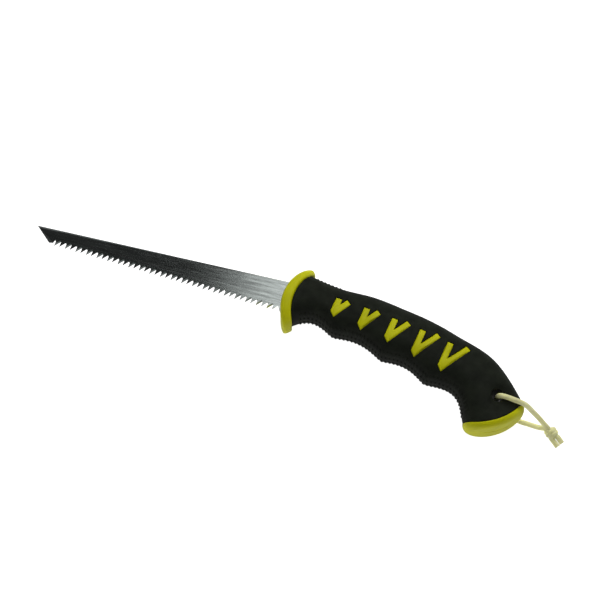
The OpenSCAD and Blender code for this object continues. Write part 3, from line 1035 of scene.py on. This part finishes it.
class SAW_OT_core(bpy.types.Operator):
    """Finishes the hidden core halves and the pins through the tang"""
    bl_idname = "drywall_saw.core"
    bl_label = "Core and pins"

    def execute(self, context):
        yellow = tuple(context.scene.saw_trim.yellow)
        core = finish_named("core_yellow", yellow_finish, yellow, "core_yellow")
        steel = finish_named("pin_steel", pin_finish, (0.6, 0.6, 0.6))
        for name, finish in (("core_left", core), ("core_right", core),
                             ("tang_pin_front", steel), ("tang_pin_rear", steel)):
            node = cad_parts[name]
            for slot in node.material_slots:
                slot.material = finish
        return {"FINISHED"}


# ---------------------------------------------------------------------------------------------
# Lanyard: one cord, through the hole and tied by its own end
# ---------------------------------------------------------------------------------------------
KNOT_AT = Vector((0.1735, -0.0523, -0.0099))
# The loop's places about the local origin, in metres, from the knot over the butt and down the
# hole, and from the hole back under the butt
OVER_PTS = [(0.1701, -0.0505, -0.0067), (0.168, -0.0493, -0.0056), (0.1635, -0.0473, -0.0013),
            (0.159, -0.0457, 0.003), (0.1555, -0.0449, 0.0073), (0.152, -0.0448, 0.0103),
            (0.1475, -0.0447, 0.012), (0.143, -0.0439, 0.0114), (0.1398, -0.0435, 0.0103),
            (0.1382, -0.0434, 0.0076), (0.1378, -0.0434, 0.0035)]
UNDER_PTS = [(0.1378, -0.0434, -0.0035), (0.1381, -0.0435, -0.0075), (0.1396, -0.0439, -0.0104),
             (0.1434, -0.0453, -0.012), (0.148, -0.0472, -0.0123), (0.1525, -0.0488, -0.0123),
             (0.159, -0.0496, -0.0123), (0.165, -0.0502, -0.012)]
TAILS = [[(0.0043, -0.0016, -0.0006), (0.0055, -0.0025, -0.0011), (0.0066, -0.0034, -0.0015),
          (0.0076, -0.0044, -0.0019)],
         [(0.0021, -0.0042, -0.0014), (0.0033, -0.0051, -0.0017), (0.0044, -0.006, -0.0021),
          (0.0055, -0.007, -0.0023)]]


def knot_wrap(diameter):
    """Turns of the far strand round the near one, along the line of the two tails."""
    run = Vector((0.735, -0.632, -0.24)).normalized()
    across = Vector((0, 0, 1)).cross(run).normalized()
    up = run.cross(across)
    turns, steps = 2.1, 25
    start = math.radians(135)
    wrap = []
    for k in range(steps + 1):
        share = k / steps
        angle = start + 2 * math.pi * turns * share
        radius = diameter * (0.72 - 0.14 * abs(2 * share - 1) ** 6)
        slide = (share - 0.5) * 1.25 * diameter
        wrap.append(KNOT_AT + run * slide + (across * math.cos(angle) + up * math.sin(angle)) * radius)
    return wrap, run


def lanyard_path(diameter):
    """Points of the whole cord about the local origin, in metres: tail, knot, loop, knot, tail."""
    near_tail = [KNOT_AT + Vector(p) for p in reversed(TAILS[0])]
    far_tail = [KNOT_AT + Vector(p) for p in TAILS[1]]
    wrap, run = knot_wrap(diameter)
    core = [KNOT_AT + run * d for d in (0.0016, -0.0010)]
    loop = [Vector(p) for p in OVER_PTS + UNDER_PTS]
    return near_tail + core + loop + wrap + far_tail


def evaluated_length(curve_object):
    """Length of a curve object's centre line."""
    flat = curve_object.copy()
    flat.data = curve_object.data.copy()
    flat.data.bevel_depth = 0
    bpy.context.scene.collection.objects.link(flat)
    bpy.context.view_layer.update()
    mesh = flat.evaluated_get(bpy.context.evaluated_depsgraph_get()).to_mesh()
    length = sum((mesh.vertices[e.vertices[0]].co - mesh.vertices[e.vertices[1]].co).length
                 for e in mesh.edges)
    bpy.data.objects.remove(flat)
    return length


class SAW_OT_lanyard(bpy.types.Operator):
    """Builds the milky lanyard cord with its knot"""
    bl_idname = "drywall_saw.lanyard"
    bl_label = "Lanyard"

    def execute(self, context):
        s = context.scene.saw_lanyard
        places = [ORIGIN + p for p in lanyard_path(s.diameter)]
        curve = bpy.data.curves.new("lanyard_cord", "CURVE")
        curve.dimensions = "3D"
        curve.resolution_u = 6
        curve.bevel_depth = s.diameter / 2
        curve.bevel_resolution = 6
        curve.use_fill_caps = True
        line = curve.splines.new("BEZIER")
        line.bezier_points.add(len(places) - 1)
        for point, place in zip(line.bezier_points, places):
            point.co = place
            point.handle_left_type = point.handle_right_type = "AUTO"
        milky = finish_named("cord_milky", cord_finish, tuple(s.milky))
        cord = new_piece("lanyard_cord", curve, [milky],
                         ["lanyard_loop", "lanyard_knot", "lanyard_tails"])
        evaluated_length(cord)
        return {"FINISHED"}


# ---------------------------------------------------------------------------------------------
# Stage
# ---------------------------------------------------------------------------------------------
def sheet_object(name, width, depth, place):
    """Flat rectangle of many cells, for the floor."""
    bm = bmesh.new()
    bmesh.ops.create_grid(bm, x_segments=24, y_segments=24, size=0.5)
    mesh = bpy.data.meshes.new(name)
    bm.to_mesh(mesh)
    bm.free()
    obj = loose_object(name, mesh)
    obj.scale = (width, depth, 1)
    obj.location = place
    return obj


def area_light(name, place, target, power, width, height):
    """Rectangular softbox at a place, turned to its target."""
    data = bpy.data.lights.new(name, "AREA")
    data.shape = "RECTANGLE"
    data.size, data.size_y = width, height
    data.energy = power
    light = loose_object(name, data)
    light.location = place
    light.rotation_mode = "QUATERNION"
    light.rotation_quaternion = (Vector(target) - Vector(place)).to_track_quat("-Z", "Y")
    return light


def studio_world(overhead, horizon):
    """Soft surroundings that are brighter at the horizon than overhead."""
    world = bpy.data.worlds.new("studio")
    world.use_nodes = True
    tree = world.node_tree
    background = tree.nodes["Background"]
    background.inputs["Color"].default_value = (1, 1, 1, 1)
    split = tree.nodes.new("ShaderNodeSeparateXYZ")
    tree.links.new(tree.nodes.new("ShaderNodeTexCoord").outputs["Generated"], split.inputs["Vector"])
    fall = tree.nodes.new("ShaderNodeMapRange")
    for key, number in zip(("From Min", "From Max", "To Min", "To Max"), (0, 0.85, horizon, overhead)):
        fall.inputs[key].default_value = number
    tree.links.new(split.outputs["Z"], fall.inputs["Value"])
    tree.links.new(fall.outputs["Result"], background.inputs["Strength"])
    return world


CAMERA_TARGET = (10.0, -9.4, 0)       # about the local origin, mm


class SAW_OT_stage(bpy.types.Operator):
    """Sets up the camera, the pale floor and the soft studio light"""
    bl_idname = "drywall_saw.stage"
    bl_label = "Stage"

    def execute(self, context):
        s = context.scene.saw_stage
        target = placed(*CAMERA_TARGET)
        a, e = math.radians(s.azimuth), math.radians(s.elevation)
        back = Vector((math.sin(a) * math.cos(e), -math.cos(a) * math.cos(e), math.sin(e)))
        data = bpy.data.cameras.new("camera")
        data.sensor_width = 36
        data.lens = data.sensor_width * s.distance / s.field
        data.clip_start, data.clip_end = 0.05, 20
        camera = loose_object("camera", data)
        camera.location = target + back * s.distance
        camera.rotation_mode = "QUATERNION"
        camera.rotation_quaternion = (-back).to_track_quat("-Z", "Y")
        context.scene.camera = camera

        floor = sheet_object("floor", 6, 6, (0, 0, -0.0002))
        floor.data.materials.append(finish_named("studio_floor", floor_finish))
        floor.visible_glossy = False

        context.scene.world = studio_world(0.03, 0.3)
        key = area_light("key_softbox", (0.25, 0.95, 0.75), (0.03, 0, 0), 10.4, 0.7, 0.45)
        key.visible_glossy = False
        area_light("heel_softbox", (0.14, 0.30, 0.80), (0.14, 0.30, 0), 1.05, 0.5, 0.6)
        fill = area_light("fill_softbox", (-0.6, -0.8, 0.9), (0, 0, 0), 4.0, 0.8, 0.8)
        fill.visible_glossy = False
        context.scene.view_settings.view_transform = "Standard"
        return {"FINISHED"}


# ---------------------------------------------------------------------------------------------
# Add-on
# ---------------------------------------------------------------------------------------------
STEPS = ("stage", "lanyard", "blade", "trim", "sleeve", "inlays", "core")


class SAW_PT_panel(bpy.types.Panel):
    """Settings and steps of the drywall saw"""
    bl_idname = "SAW_PT_panel"
    bl_label = "Drywall saw"
    bl_space_type = "VIEW_3D"
    bl_region_type = "UI"
    bl_category = "Drywall saw"

    def draw(self, context):
        for name in SETTINGS:
            box = self.layout.box()
            group = getattr(context.scene, name)
            for key in group.bl_rna.properties.keys():
                if key not in {"rna_type", "name"}:
                    box.prop(group, key)
        for step in STEPS:
            self.layout.operator("drywall_saw." + step)


SETTINGS = {"saw_blade": BladeSettings, "saw_grip": GripSettings, "saw_trim": TrimSettings,
            "saw_inlay": InlaySettings, "saw_lanyard": LanyardSettings, "saw_stage": StageSettings}
CLASSES = (*SETTINGS.values(), SAW_OT_stage, SAW_OT_lanyard, SAW_OT_blade, SAW_OT_trim,
           SAW_OT_sleeve, SAW_OT_inlays, SAW_OT_core, SAW_PT_panel)


def register():
    for cls in CLASSES:
        bpy.utils.register_class(cls)
    for name, group in SETTINGS.items():
        setattr(bpy.types.Scene, name, PointerProperty(type=group))


def unregister():
    for name in SETTINGS:
        delattr(bpy.types.Scene, name)
    for cls in reversed(CLASSES):
        bpy.utils.unregister_class(cls)


def main():
    register()
    for step in STEPS:
        getattr(bpy.ops.drywall_saw, step)()


if __name__ == "__main__":
    main()
